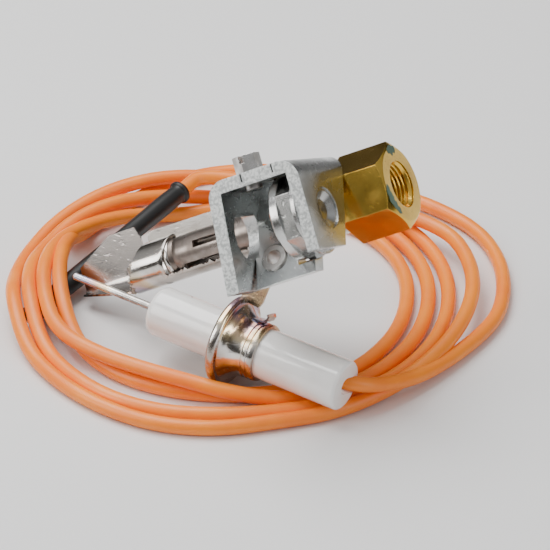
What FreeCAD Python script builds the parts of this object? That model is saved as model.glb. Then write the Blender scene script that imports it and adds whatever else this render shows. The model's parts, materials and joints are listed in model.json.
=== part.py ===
import FreeCAD, Part
import math
import os
import Sketcher
from FreeCAD import Placement, Rotation, Vector

# A gas pilot burner on a folded bracket, with a spark electrode strapped to the bracket and a
# silicone high-voltage lead that ends in a booted push-on terminal. Millimetres.
#
# The burner frame has x along the burner (towards the inlet), y to the back and z up, with its
# origin on the burner's centre line at the outer face of the bracket's inlet leg. The electrode
# frame has x along the ceramic. Both are set down on the table, tilted, by one placement.

DRIVING_SIZES = [
    ("sheet_thick", 3.0),
    ("web_span", 23.0),
    ("bracket_front", 31.0),
    ("web_top", 10.6),
    ("left_leg_drop", 25.4),
    ("left_leg_splay", 2.3),
    ("right_leg_drop", 21.4),
    ("bend_radius", 4.6),
    ("leg_depth_top", 24.7),
    ("leg_depth_base", 11.5),
    ("wall_gap", 3.1),
    ("wall_deep", 4.1),
    ("slit_wide", 0.35),
    ("slit_high", 2.0),
    ("slit_deep", 6.0),
    ("slit_first", 14.2),
    ("slit_second", 6.2),
    ("port_back", 9.5),
    ("port_low", 12.4),
    ("port_radius", 6.1),
    ("plug_radius", 4.7),
    ("plug_dimple", 1.6),
    ("plug_head_radius", 9.6),
    ("plug_head_thick", 2.4),
    ("locknut_flats", 17.6),
    ("locknut_thick", 3.6),
    ("washer_radius", 9.9),
    ("washer_thick", 1.0),
    ("stack_room", 0.5),
    ("fit_gap", 0.05),
    ("screw_flats", 5.5),
    ("screw_head_high", 4.0),
    ("screw_radius", 2.0),
    ("screw_proud", 0.9),
    ("screw_left", 13.8),
    ("screw_back", 4.8),
    ("screw_slot_wide", 1.1),
    ("screw_slot_deep", 1.8),
    ("inlet_flats", 18.0),
    ("inlet_long", 13.4),
    ("inlet_right", 9.4),
    ("inlet_bore_radius", 5.55),
    ("inlet_bore_deep", 9.0),
    ("inlet_shank_radius", 5.6),
    ("inlet_shank_long", 7.0),
    ("orifice_radius", 3.1),
    ("orifice_long", 9.0),
    ("orifice_jet_radius", 0.25),
    ("orifice_bore_radius", 1.2),
    ("body_radius", 7.0),
    ("body_left", 27.0),
    ("air_port_radius", 2.2),
    ("saddle_long", 10.8),
    ("saddle_wide", 8.0),
    ("tube_radius", 4.7),
    ("tube_wall", 0.6),
    ("tube_left", 53.0),
    ("tube_slot_wide", 1.6),
    ("tube_slot_long", 8.0),
    ("collar_radius", 5.0),
    ("collar_long", 1.6),
    ("hood_radius", 5.5),
    ("hood_wall", 0.5),
    ("hood_left", 60.5),
    ("hood_right", 30.0),
    ("hood_flange_high", 8.4),
    ("hood_cut_left", 52.5),
    ("hood_cut_low", 2.0),
    ("wing_left", 80.5),
    ("wing_high", 10.7),
    ("wing_knee", 70.8),
    ("wing_tip_high", 5.2),
    ("electrode_turn", 35.5),
    ("electrode_left", 39.1),
    ("electrode_front", 8.0),
    ("electrode_low", 23.1),
    ("ceramic_radius", 6.0),
    ("ceramic_left", 21.2),
    ("ceramic_right", 30.4),
    ("ceramic_round", 2.0),
    ("rod_radius", 0.9),
    ("rod_left", 44.5),
    ("flange_radius", 11.0),
    ("flange_thick", 2.6),
    ("flange_step_radius", 9.6),
    ("flange_collar_long", 5.5),
    ("flange_sleeve_end", 9.0),
    ("flange_sleeve_radius", 6.9),
    ("strap_thick", 1.0),
    ("strap_top", 0.6),
    ("clip_wall", 0.8),
    ("clip_left", 23.0),
    ("clip_right", 15.0),
    ("eyelet_radius", 3.3),
    ("eyelet_bore", 1.8),
    ("eyelet_shank", 2.5),
    ("eyelet_lip", 0.6),
    ("eyelet_left", 16.5),
    ("eyelet_drop", 19.5),
    ("lead_radius", 1.8),
    ("ferrule_radius", 1.5),
    ("ferrule_long", 8.0),
    ("ferrule_left", 8.0),
    ("ceramic_slot_wide", 4.0),
    ("ceramic_slot_deep", 7.0),
    ("coil_east", 4.5),
    ("coil_north", 26.4),
    ("coil_outer_radius", 62.5),
    ("coil_inner_radius", 33.0),
    ("coil_high", 7.2),
    ("coil_room", 0.5),
    ("boot_radius", 2.5),
    ("boot_long", 61.0),
    ("boot_lip_radius", 2.9),
    ("boot_lip_long", 1.6),
    ("boot_mouth_wide", 4.4),
    ("boot_mouth_thick", 2.0),
    ("lead_in_boot", 42.0),
    ("lead_before_boot", 10.0),
    ("terminal_wide", 4.2),
    ("terminal_thick", 1.8),
    ("terminal_wall", 0.4),
    ("terminal_proud", 2.4),
    ("burner_yaw", -15.1),
    ("burner_pitch", -28.2),
    ("burner_roll", -29.3),
    ("burner_east", 28.27),
    ("burner_north", 2.26),
    ("burner_up", 43.8),
]

doc = FreeCAD.newDocument("PilotBurner")
sheet = doc.addObject("Spreadsheet::Sheet", "Sizes")
for row_number, (alias, value) in enumerate(DRIVING_SIZES, start=1):
    sheet.set("A%d" % row_number, alias)
    sheet.set("B%d" % row_number, str(value))
    sheet.setAlias("B%d" % row_number, alias)
doc.recompute()
ALIASES = sorted((alias for alias, _ in DRIVING_SIZES), key=len, reverse=True)


def size(alias):
    """One driving dimension."""
    return float(sheet.get(alias))


def formula(text):
    """Words of the sheet become references to its cells."""
    words = text.replace("(", " ( ").replace(")", " ) ").split()
    return " ".join("Sizes." + word if word in ALIASES else word for word in words)


def number(text):
    """What a formula comes to, in millimetres or degrees."""
    found = sheet.evalExpression(formula(text))
    return float(getattr(found, "Value", found))


def burner_place():
    """The burner frame as it lies on the table."""
    turn = Rotation(size("burner_yaw"), size("burner_pitch"), size("burner_roll"))
    return Placement(Vector(size("burner_east"), size("burner_north"), size("burner_up")), turn)


def electrode_place():
    """The electrode frame: x along the ceramic, at the middle of its flange."""
    middle = Vector(-size("electrode_left"), -size("electrode_front"), -size("electrode_low"))
    turn = Rotation(Vector(0, 1, 0), size("electrode_turn"))
    return burner_place().multiply(Placement(middle, turn))


NODES = []


def finish_node(piece, label, place):
    """Name a finished sub-part and put it in the row's frame."""
    piece.Label = label
    piece.Placement = place
    NODES.append(piece)
    return piece


# ---- small builders -------------------------------------------------------------------------


def new_sketch(body, role, name, offset="0 * fit_gap"):
    """A sketch on one of the body's own origin planes, moved along its normal."""
    sketch = body.newObject("Sketcher::SketchObject", name)
    plane = [item for item in body.Origin.OriginFeatures if item.Role == role][0]
    sketch.AttachmentSupport = [(plane, "")]
    sketch.MapMode = "FlatFace"
    sketch.setExpression("AttachmentOffset.Base.z", formula(offset))
    return sketch


def tie(sketch, kind, edge, point, text):
    """Hold one coordinate of a point at a formula of the sheet."""
    made = sketch.addConstraint(Sketcher.Constraint(kind, -1, 1, edge, point, number(text)))
    sketch.setExpression("Constraints[%d]" % made, formula(text))


def outline(body, role, name, points, offset="0 * fit_gap"):
    """A closed straight-sided sketch, each corner tied to two formulas."""
    sketch = new_sketch(body, role, name, offset)
    places = [Vector(number(across), number(along), 0) for across, along in points]
    count = len(places)
    for i in range(count):
        sketch.addGeometry(Part.LineSegment(places[i], places[(i + 1) % count]), False)
    for i in range(count):
        sketch.addConstraint(Sketcher.Constraint("Coincident", i, 2, (i + 1) % count, 1))
    for i, (across, along) in enumerate(points):
        tie(sketch, "DistanceX", i, 1, across)
        tie(sketch, "DistanceY", i, 1, along)
    return sketch


def circles(body, role, name, rounds, offset="0 * fit_gap"):
    """A sketch of circles, each given as across, along and radius."""
    sketch = new_sketch(body, role, name, offset)
    for i, (across, along, radius) in enumerate(rounds):
        middle = Vector(number(across), number(along), 0)
        sketch.addGeometry(Part.Circle(middle, Vector(0, 0, 1), number(radius)), False)
        tie(sketch, "DistanceX", i, 3, across)
        tie(sketch, "DistanceY", i, 3, along)
        made = sketch.addConstraint(Sketcher.Constraint("Radius", i, number(radius)))
        sketch.setExpression("Constraints[%d]" % made, formula(radius))
    return sketch


def pad(body, sketch, length, reverse=False):
    """Thicken a sketch."""
    feature = body.newObject("PartDesign::Pad", sketch.Name + "Pad")
    feature.Profile = sketch
    feature.setExpression("Length", formula(length))
    feature.Reversed = reverse
    return feature


def pocket(body, sketch, length, reverse=False):
    """Cut a sketch away and check that something went."""
    doc.recompute()
    before = body.Shape.Volume
    feature = body.newObject("PartDesign::Pocket", sketch.Name + "Cut")
    feature.Profile = sketch
    feature.setExpression("Length", formula(length))
    feature.Reversed = reverse
    doc.recompute()
    if body.Shape.Volume > before - 1e-6:
        raise ValueError(sketch.Name + " cuts nothing")
    return feature


def turned(name, profile):
    """A body of revolution about its own x axis, from (x, radius) corners."""
    body = doc.addObject("PartDesign::Body", name)
    sketch = outline(body, "XY_Plane", name + "Profile", profile)
    feature = body.newObject("PartDesign::Revolution", name + "Turn")
    feature.Profile = sketch
    feature.ReferenceAxis = (sketch, ["H_Axis"])
    feature.Angle = 360
    doc.recompute()
    return body


def bar(name, start, length, radius, turn=Rotation(Vector(0, 1, 0), 90)):
    """A Part cylinder, along +x unless turned, from start given as three formulas."""
    piece = doc.addObject("Part::Cylinder", name)
    piece.setExpression("Radius", formula(radius))
    piece.setExpression("Height", formula(length))
    piece.Placement = Placement(Vector(*[number(text) for text in start]), turn)
    for axis, text in zip("xyz", start):
        piece.setExpression("Placement.Base." + axis, formula(text))
    return piece


def hexagon(name, start, length, flats, turn):
    """A Part prism of six sides across given flats, from start given as three formulas."""
    piece = doc.addObject("Part::Prism", name)
    piece.Polygon = 6
    piece.setExpression("Circumradius", "(%s) / (2 * cos(30))" % formula(flats))
    piece.setExpression("Height", formula(length))
    piece.Placement = Placement(Vector(*[number(text) for text in start]), turn)
    for axis, text in zip("xyz", start):
        piece.setExpression("Placement.Base." + axis, formula(text))
    return piece


def cut(name, base, *tools):
    """Base less the tools."""
    for i, tool in enumerate(tools):
        piece = doc.addObject("Part::Cut", "%sCut%d" % (name, i))
        piece.Base = base
        piece.Tool = tool
        base = piece
    return base


def common(name, base, tool):
    """What two solids share."""
    piece = doc.addObject("Part::Common", name)
    piece.Base = base
    piece.Tool = tool
    return piece


def fuse(name, *parts):
    """Several solids as one."""
    piece = doc.addObject("Part::MultiFuse", name)
    piece.Shapes = list(parts)
    piece.Refine = True
    return piece


def placed(name, piece, place):
    """A piece with a further placement outside its own."""
    holder = doc.addObject("Part::Compound", name)
    holder.Links = [piece]
    holder.Placement = place
    return holder


# ---- the bracket and what is screwed or riveted to it -----------------------------------------

ZERO = "0 * fit_gap"
LEG_INNER = "sheet_thick - web_span"
PORT_Y = "port_back - bracket_front"
PORT_Z = "web_top - port_low"


def wall_lean():
    """How far the rear wall leans back from upright, in degrees."""
    return math.degrees(math.atan((size("leg_depth_top") - size("leg_depth_base")) / size("left_leg_drop")))


def eyelet_place():
    """The eyelet's frame inside the burner frame: x through the wall from its inner face."""
    lean = math.radians(wall_lean())
    inner = size("leg_depth_top") - size("eyelet_drop") * math.tan(lean) - size("bracket_front") - size("wall_deep")
    through = Rotation(Vector(1, 0, 0), Vector(0, math.cos(lean), -math.sin(lean)))
    return Placement(Vector(-size("eyelet_left"), inner, size("web_top") - size("eyelet_drop")), through)


def make_bracket():
    """Strip folded into an inverted U, with a leaning rear wall folded from its left leg."""
    body = doc.addObject("PartDesign::Body", "BracketBody")
    strip = outline(body, "XZ_Plane", "BracketStrip", [
        ("0 * web_span", "web_top - right_leg_drop"),
        ("0 * web_span", "web_top"),
        ("0 - web_span", "web_top"),
        ("0 - web_span - left_leg_splay", "web_top - left_leg_drop"),
        ("sheet_thick - web_span - left_leg_splay", "web_top - left_leg_drop"),
        (LEG_INNER, "web_top - sheet_thick"),
        ("0 - sheet_thick", "web_top - sheet_thick"),
        ("0 - sheet_thick", "web_top - right_leg_drop"),
    ], "bracket_front")
    folded = pad(body, strip, "leg_depth_top", reverse=True)
    doc.recompute()
    top = size("web_top")
    corners = []
    for i, edge in enumerate(folded.Shape.Edges, start=1):
        box = edge.BoundBox
        at_top = abs(box.ZMin - top) < 1e-4 and abs(box.ZMax - top) < 1e-4
        if at_top and box.YLength > size("leg_depth_top") - 1e-3:
            corners.append("Edge%d" % i)
    rounded = body.newObject("PartDesign::Fillet", "BracketBends")
    rounded.Base = (folded, corners)
    rounded.setExpression("Radius", "Sizes.bend_radius")
    doc.recompute()
    slant = outline(body, "YZ_Plane", "BracketSlant", [
        ("leg_depth_top - bracket_front", "web_top"),
        ("leg_depth_base - bracket_front", "web_top - left_leg_drop"),
        ("leg_depth_base - bracket_front", "web_top - left_leg_drop - 5"),
        ("leg_depth_top - bracket_front + 9", "web_top - left_leg_drop - 5"),
        ("leg_depth_top - bracket_front + 9", "web_top"),
    ], "10 * fit_gap")
    pocket(body, slant, "web_span + left_leg_splay + 2")
    wall = outline(body, "YZ_Plane", "BracketWall", [
        ("leg_depth_top - bracket_front - wall_deep", "1 * web_top"),
        ("leg_depth_top - bracket_front", "1 * web_top"),
        ("leg_depth_base - bracket_front", "web_top - left_leg_drop"),
        ("leg_depth_base - bracket_front - wall_deep", "web_top - left_leg_drop"),
    ], "0 - sheet_thick - wall_gap")
    pad(body, wall, "web_span - sheet_thick - wall_gap - 0.5 * sheet_thick", reverse=True)
    leg_inside = "sheet_thick - web_span - left_leg_splay * (port_low - port_radius) / left_leg_drop"
    port = circles(body, "YZ_Plane", "BracketPort", [(PORT_Y, PORT_Z, "port_radius")], leg_inside)
    pocket(body, port, "2 * sheet_thick + left_leg_splay")
    hole = circles(body, "YZ_Plane", "BracketPlugHole", [(PORT_Y, PORT_Z, "plug_radius + fit_gap")], "1 * fit_gap")
    pocket(body, hole, "sheet_thick + 1")
    tapped = circles(body, "XY_Plane", "BracketScrewHole", [
        ("0 - screw_left", "screw_back - bracket_front", "screw_radius + fit_gap"),
    ], "web_top + 1")
    pocket(body, tapped, "sheet_thick + 2")
    for i, place in enumerate(("slit_first", "slit_second")):
        slit = outline(body, "XZ_Plane", "BracketSlit%d" % i, [
            ("0 - %s" % place, "web_top + 1"),
            ("slit_wide - %s" % place, "web_top + 1"),
            ("slit_wide - %s" % place, "web_top - slit_high"),
            ("0 - %s" % place, "web_top - slit_high"),
        ], "bracket_front + 1")
        pocket(body, slit, "slit_deep + 1")
    hole = bar("EyeletHole", ["0 - wall_deep", ZERO, ZERO], "2 * wall_deep", "eyelet_shank + fit_gap")
    hole = placed("EyeletHolePlaced", hole, eyelet_place())
    stack_long = "(washer_thick + locknut_thick + plug_head_thick + stack_room)"
    stack = bar("StackRoom", ["0 - sheet_thick - " + stack_long, PORT_Y, PORT_Z], stack_long,
                "washer_radius + stack_room")
    finish_node(cut("BracketDrilled", body, hole, stack), "bracket", burner_place())


def port_place():
    """The plugged port's own frame: x along the port, zero at the leg's outer face."""
    return burner_place().multiply(Placement(Vector(0, number(PORT_Y), number(PORT_Z)), Rotation()))


def make_clamp_screw():
    """Slotted hexagon screw tapped through the web."""
    start = ["0 - screw_left", "screw_back - bracket_front", "web_top"]
    head = hexagon("ScrewHead", start, "screw_head_high", "screw_flats", Rotation(Vector(0, 0, 1), 30))
    below = start[:2] + ["web_top - sheet_thick - screw_proud"]
    shank = bar("ScrewShank", below, "sheet_thick + screw_proud + 1", "screw_radius", Rotation())
    slot = doc.addObject("Part::Box", "ScrewSlot")
    slot.setExpression("Length", "Sizes.screw_slot_wide")
    slot.setExpression("Width", "2 * Sizes.screw_flats")
    slot.setExpression("Height", "2 * Sizes.screw_slot_deep")
    slot.setExpression("Placement.Base.x", formula("0 - screw_left - screw_slot_wide / 2"))
    slot.setExpression("Placement.Base.y", formula("screw_back - bracket_front - screw_flats"))
    slot.setExpression("Placement.Base.z", formula("web_top + screw_head_high - screw_slot_deep"))
    return finish_node(cut("Screw", fuse("ScrewWhole", head, shank), slot), "clamp_screw", burner_place())


def make_port_stack():
    """Plug, locknut and washer that close the unused port in the inlet leg."""
    nut_face = "0 - sheet_thick - washer_thick"
    head_face = "0 - sheet_thick - washer_thick - locknut_thick"
    head_end = head_face + " - plug_head_thick"
    plug = turned("PortPlug", [
        (head_end, "0 * fit_gap"),
        (head_end, "plug_head_radius - 0.5"),
        (head_end + " + 0.5", "plug_head_radius"),
        (head_face, "plug_head_radius"),
        (head_face, "plug_radius"),
        ("0 - 0.3", "plug_radius"),
        ("0 - 0.3", "plug_radius - 0.6"),
        ("0 - 0.3 - 0.7 * plug_dimple", "plug_radius / 2"),
        ("0 - 0.3 - plug_dimple", "0 * fit_gap"),
    ])
    finish_node(plug, "port_plug", port_place())
    ring = bar("WasherRing", [nut_face, ZERO, ZERO], "washer_thick", "washer_radius")
    eye = bar("WasherEye", [nut_face, ZERO, ZERO], "washer_thick", "plug_radius + fit_gap")
    finish_node(cut("Washer", ring, eye), "port_washer", port_place())
    along = Rotation(Vector(0, 1, 0), 90)
    nut = hexagon("LocknutBlank", [head_face, ZERO, ZERO], "locknut_thick", "locknut_flats", along)
    thread = bar("LocknutBore", [head_face, ZERO, ZERO], "locknut_thick", "plug_radius + fit_gap")
    finish_node(cut("Locknut", nut, thread), "port_locknut", port_place())


# ---- the burner line --------------------------------------------------------------------------

HEX_LEFT = "inlet_right - inlet_long"
SHANK_LEFT = HEX_LEFT + " - inlet_shank_long"


def make_inlet():
    """Brass inlet hexagon with a female thread, and the orifice screwed in behind it."""
    along = Rotation(Vector(0, 1, 0), 90)
    blank = hexagon("InletBlank", [HEX_LEFT, ZERO, ZERO], "inlet_long", "inlet_flats", along)
    cone = doc.addObject("Part::Cone", "InletChamfer")
    cone.Placement = Placement(Vector(number(HEX_LEFT), 0, 0), along)
    cone.setExpression("Placement.Base.x", formula(HEX_LEFT))
    cone.setExpression("Height", "Sizes.inlet_long")
    cone.setExpression("Radius2", "Sizes.inlet_flats * 0.48")
    cone.setExpression("Radius1", "Sizes.inlet_flats * 0.48 + Sizes.inlet_long * tan(60)")
    shaped = common("InletShaped", blank, cone)
    shank = bar("InletShank", [SHANK_LEFT, ZERO, ZERO], "inlet_shank_long + 1", "inlet_shank_radius")
    bore = bar("InletBore", ["inlet_right - inlet_bore_deep", ZERO, ZERO], "inlet_bore_deep + 1", "inlet_bore_radius")
    way = bar("InletWay", [SHANK_LEFT + " - 1", ZERO, ZERO], "inlet_long + inlet_shank_long",
              "orifice_radius + fit_gap")
    finish_node(cut("Inlet", fuse("InletWhole", shaped, shank), bore, way), "inlet_fitting", burner_place())
    seat = "inlet_right - inlet_bore_deep - 0.2"
    nose = seat + " - orifice_long"
    spud = turned("Orifice", [
        (nose, "orifice_jet_radius"),
        (nose, "orifice_radius - 0.8"),
        (nose + " + 1", "orifice_radius"),
        (seat, "orifice_radius"),
        (seat, "orifice_bore_radius"),
        (nose + " + 1.5", "orifice_bore_radius"),
        (nose + " + 1", "orifice_jet_radius"),
    ])
    finish_node(spud, "orifice", burner_place())


def make_mixer():
    """Round body behind the bracket's wall where gas draws air in, on a brazed saddle."""
    right = HEX_LEFT
    shell = bar("MixerShell", ["0 - body_left", ZERO, ZERO], "body_left + " + right, "body_radius")
    socket = bar("MixerSocket", [SHANK_LEFT, ZERO, ZERO], "inlet_shank_long + 1", "inlet_shank_radius + fit_gap")
    throat = bar("MixerThroat", ["0 - body_left - 1", ZERO, ZERO], "body_left", "tube_radius + fit_gap")
    down = bar("MixerAirDown", ["0 - body_left / 2 - 1", ZERO, "0 - 2 * body_radius"], "4 * body_radius",
               "air_port_radius", Rotation())
    finish_node(cut("Mixer", shell, socket, throat, down), "mixer_body", burner_place())
    lean = wall_lean()
    back = Vector(0, math.cos(math.radians(lean)), -math.sin(math.radians(lean)))
    wall_point = Vector(0, size("leg_depth_top") - size("bracket_front"), size("web_top"))
    reach = -wall_point.dot(back)
    block = doc.addObject("Part::Box", "SaddleBlock")
    block.setExpression("Length", "Sizes.saddle_long")
    block.setExpression("Width", "Sizes.saddle_wide")
    block.Height = reach - 1
    turn = Rotation(Vector(1, 0, 0), -90 - lean)
    middle = back.multiply(-reach)
    side = turn.multVec(Vector(0, 1, 0)).multiply(size("saddle_wide") / 2)
    left = 0.2 - size("clip_right")
    block.Placement = Placement(Vector(left, middle.y - side.y, middle.z - side.z), turn)
    cradle = bar("SaddleCradle", ["0 - body_left", ZERO, ZERO], "body_left", "body_radius")
    finish_node(cut("Saddle", block, cradle), "body_saddle", burner_place())


def make_burner_tube():
    """Slotted inner tube with a bead ring at its left end."""
    long_text = "tube_left - body_left / 2 - 3"
    outer = bar("TubeOuter", ["0 - tube_left", ZERO, ZERO], long_text, "tube_radius")
    inner = bar("TubeInner", ["0 - tube_left - 1", ZERO, ZERO], long_text + " + 2", "tube_radius - tube_wall")
    piece = cut("Tube", outer, inner)
    slots = []
    for i, angle in enumerate((0, 60, 120)):
        slot = doc.addObject("Part::Box", "TubeSlot%d" % i)
        slot.setExpression("Length", "Sizes.tube_slot_long")
        slot.setExpression("Width", "Sizes.tube_slot_wide")
        slot.setExpression("Height", "Sizes.tube_radius * 3")
        turn = Rotation(Vector(1, 0, 0), 90 + angle - 20)
        drop = turn.multVec(Vector(0, size("tube_slot_wide") / 2, size("tube_radius") * 1.5))
        slot.Placement = Placement(Vector(7 - size("tube_left"), -drop.y, -drop.z), turn)
        slots.append(slot)
    finish_node(cut("TubeSlotted", piece, *slots), "burner_tube", burner_place())
    band = bar("CollarBand", ["0 - tube_left", ZERO, ZERO], "collar_long", "collar_radius")
    hole = bar("CollarHole", ["0 - tube_left - 1", ZERO, ZERO], "collar_long + 2", "tube_radius")
    finish_node(cut("Collar", band, hole), "tube_collar", burner_place())


def sheet_shell(name, left, right, high):
    """Sheet bent round the burner line, with a flat rear wall that stands up to a height."""
    round_out = bar(name + "Round", [left, ZERO, ZERO], "(0 - (%s)) + %s" % (left, right), "hood_radius")
    wall = doc.addObject("Part::Box", name + "Wall")
    wall.setExpression("Length", formula("(0 - (%s)) + %s" % (left, right)))
    wall.setExpression("Width", "Sizes.hood_wall")
    wall.setExpression("Height", formula(high))
    wall.Placement = Placement(Vector(number(left), size("hood_radius") - size("hood_wall"), 0), Rotation())
    wall.setExpression("Placement.Base.x", formula(left))
    wall.setExpression("Placement.Base.y", formula("hood_radius - hood_wall"))
    hollow = bar(name + "Hollow", [left + " - 1", ZERO, ZERO], "(0 - (%s)) + %s + 2" % (left, right),
                 "hood_radius - hood_wall")
    return cut(name + "Ring", round_out, hollow), wall


def box_between(name, low, high):
    """A box from one corner to another, each three formulas."""
    piece = doc.addObject("Part::Box", name)
    for prop, axis, a, b in zip(("Length", "Width", "Height"), "xyz", low, high):
        piece.setExpression(prop, formula("(%s) - (%s)" % (b, a)))
        piece.setExpression("Placement.Base." + axis, formula(a))
    return piece


def make_hood():
    """Hood round the tube, open in front from the cut on."""
    ring, wall = sheet_shell("Hood", "0 - hood_left", "0 - hood_right", "hood_flange_high")
    front = box_between("HoodOpening", ["0 - hood_cut_left", "0 - 2 * hood_radius", "0 - hood_cut_low"],
                        ["1 - hood_right", "hood_radius - hood_wall - 0.2", "2 * hood_radius"])
    finish_node(fuse("HoodWhole", cut("HoodOpen", ring, front), wall), "hood", burner_place())


def make_wing():
    """Target wing beyond the hood: a trough with a rear wall trimmed on a slant."""
    trough, back = sheet_shell("Wing", "0 - wing_left", "0 - hood_left", "wing_high")
    above = box_between("WingOpening", ["0 - wing_left - 1", "0 - 2 * hood_radius", "0 - hood_cut_low"],
                        ["1 - hood_left", "hood_radius - hood_wall - 0.2", "2 * hood_radius"])
    whole = fuse("WingWhole", cut("WingOpen", trough, above), back)
    body = doc.addObject("PartDesign::Body", "WingTrim")
    trim = outline(body, "XZ_Plane", "WingTrimLine", [
        ("0 - wing_left - 1", "wing_tip_high"),
        ("0 - wing_left", "wing_tip_high"),
        ("0 - wing_knee", "wing_high + 0.01"),
        ("0 - wing_knee", "wing_high + 2"),
        ("0 - wing_left - 1", "wing_high + 2"),
    ], "0 - hood_radius - 2")
    pad(body, trim, "hood_wall + 4")
    finish_node(cut("Wing", whole, body), "target_wing", burner_place())


# ---- the electrode ----------------------------------------------------------------------------

LEAD_START = "ferrule_left + ferrule_long"


def make_flange():
    """Pressed ring round the ceramic: stepped rim, flared collar and crimped sleeve."""
    inner = "ceramic_radius + fit_gap"
    flange = turned("Flange", [
        ("0 - flange_thick / 2", inner),
        ("0 - flange_thick / 2", "flange_step_radius"),
        ("0 - flange_thick / 4", "flange_radius"),
        ("flange_thick / 4", "flange_radius"),
        ("flange_thick / 2", "flange_step_radius"),
        ("flange_thick / 2 + 1", "flange_step_radius - 1"),
        ("flange_collar_long", "flange_sleeve_radius"),
        ("flange_sleeve_end", "flange_sleeve_radius"),
        ("flange_sleeve_end", inner),
    ])
    finish_node(flange, "electrode_flange", electrode_place())


def make_strap():
    """Flat strap from the flange up to a clip round the mixer body."""
    body = doc.addObject("PartDesign::Body", "StrapPlate")
    shape = outline(body, "XZ_Plane", "StrapOutline", [
        ("1 - clip_left", "0 - strap_top"),
        ("0 - clip_right", "0 - strap_top"),
        ("0 - clip_right", "0 - body_radius"),
        ("0 - electrode_left + 12.6", "0 - electrode_low + 9.2"),
        ("0 - electrode_left + 9.8", "0 - electrode_low + 6.1"),
        ("0 - electrode_left + 8.6", "0 - electrode_low + 5.4"),
        ("0 - electrode_left + 5.2", "0 - electrode_low + 8.4"),
        ("0 - electrode_left + 5.8", "0 - electrode_low + 10.4"),
    ], "body_radius + fit_gap")
    pad(body, shape, "strap_thick")
    band = bar("ClipBand", ["0 - clip_left", ZERO, ZERO], "clip_left - clip_right", "body_radius + clip_wall + fit_gap")
    hole = bar("ClipHole", ["0 - clip_left - 1", ZERO, ZERO], "clip_left - clip_right + 2", "body_radius + fit_gap")
    saddle = box_between("StrapSaddleRoom", ["0 - clip_left - 1", "0 - 3 * body_radius", "0 - 0.5"],
                         ["1 - clip_right", "0 - 2", "2 * body_radius"])
    whole = fuse("StrapWhole", body, cut("ClipRing", band, hole, saddle))
    room = bar("StrapBodyRoom", ["0 - tube_left", ZERO, ZERO], "tube_left", "body_radius + fit_gap")
    finish_node(cut("Strap", whole, room), "electrode_strap", burner_place())


def make_eyelet():
    """Hollow rivet that lines the screw hole in the leaning wall."""
    thick = size("wall_deep") * math.cos(math.radians(wall_lean()))
    eyelet = turned("Eyelet", [
        ("0 - eyelet_lip", "eyelet_bore"),
        ("0 - eyelet_lip", "eyelet_radius - 0.3"),
        ("0 - 0.3", "eyelet_radius"),
        (ZERO, "eyelet_radius"),
        (ZERO, "eyelet_shank"),
        ("%.4f + eyelet_lip" % thick, "eyelet_shank"),
        ("%.4f + eyelet_lip" % thick, "eyelet_bore"),
    ])
    finish_node(eyelet, "wall_eyelet", burner_place().multiply(eyelet_place()))


def make_ceramic():
    """Glazed insulator with a bore for the rod, a wider one for the lead and a slotted end."""
    body = turned("CeramicBody", [
        ("0 - ceramic_left", "rod_radius + fit_gap"),
        ("0 - ceramic_left", "ceramic_radius - ceramic_round"),
        ("0 - ceramic_left + 0.3 * ceramic_round", "ceramic_radius - 0.45 * ceramic_round"),
        ("0 - ceramic_left + ceramic_round", "ceramic_radius"),
        ("ceramic_right - 0.4 * ceramic_round", "ceramic_radius"),
        ("ceramic_right", "ceramic_radius - 0.4 * ceramic_round"),
        ("ceramic_right", "lead_radius + fit_gap"),
        ("ferrule_left", "lead_radius + fit_gap"),
        ("ferrule_left", "rod_radius + fit_gap"),
    ])
    slot = doc.addObject("Part::Box", "CeramicSlot")
    slot.setExpression("Length", "2 * Sizes.ceramic_slot_deep")
    slot.setExpression("Width", "2 * Sizes.ceramic_radius")
    slot.setExpression("Height", "Sizes.ceramic_slot_wide")
    slot.setExpression("Placement.Base.x", formula("ceramic_right - ceramic_slot_deep"))
    slot.setExpression("Placement.Base.z", formula("0 - ceramic_slot_wide / 2"))
    finish_node(cut("Ceramic", body, slot), "ceramic_insulator", electrode_place())


def make_rod():
    """Spark rod, and the ferrule that joins it to the lead inside the ceramic."""
    rod = turned("Rod", [
        ("0 - rod_left", ZERO),
        ("0 - rod_left", "rod_radius / 2"),
        ("rod_radius / 2 - rod_left", "rod_radius"),
        ("1 * ferrule_left", "rod_radius"),
        ("1 * ferrule_left", ZERO),
    ])
    finish_node(rod, "spark_rod", electrode_place())
    ferrule = turned("Ferrule", [
        ("ferrule_left", ZERO),
        ("ferrule_left", "ferrule_radius"),
        (LEAD_START, "ferrule_radius"),
        (LEAD_START, ZERO),
    ])
    finish_node(ferrule, "lead_ferrule", electrode_place())


# ---- the lead -----------------------------------------------------------------------------------

# The lead's uncoiled stretches, in the row's frame: from the ferrule to the coil, and from the
# coil to the boot's mouth.
START_ROUTE = [(35.6, -16.8, 4.5), (46.0, -6.5, 2.4)]
END_ROUTE = [(38.0, 56.0, 6.0)]
BOOT_ENTRY = Vector(-15.8, 62.6, 8.0)
BOOT_EXIT = Vector(-51.4, 13.0, 3.0)
CORNER_SHARE = 0.45


def lead_wire(points):
    """Straight runs joined by tangent arcs."""
    edges = []
    here = points[0]
    for before, corner, after in zip(points, points[1:], points[2:]):
        come = (corner - before).normalize()
        leave = (after - corner).normalize()
        shorter = min((corner - before).Length, (after - corner).Length)
        reach = CORNER_SHARE * shorter
        turn = come.getAngle(leave)
        radius = reach / math.tan(turn / 2)
        print("lead arc radius %.1f mm" % radius)
        first = corner - come * reach
        last = corner + leave * reach
        inward = (leave - come).normalize()
        middle = corner + inward * (radius / math.cos(turn / 2) - radius)
        edges.append(Part.LineSegment(here, first).toShape())
        edges.append(Part.Arc(first, middle, last).toShape())
        here = last
    edges.append(Part.LineSegment(here, points[-1]).toShape())
    return Part.Wire(edges)


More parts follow.
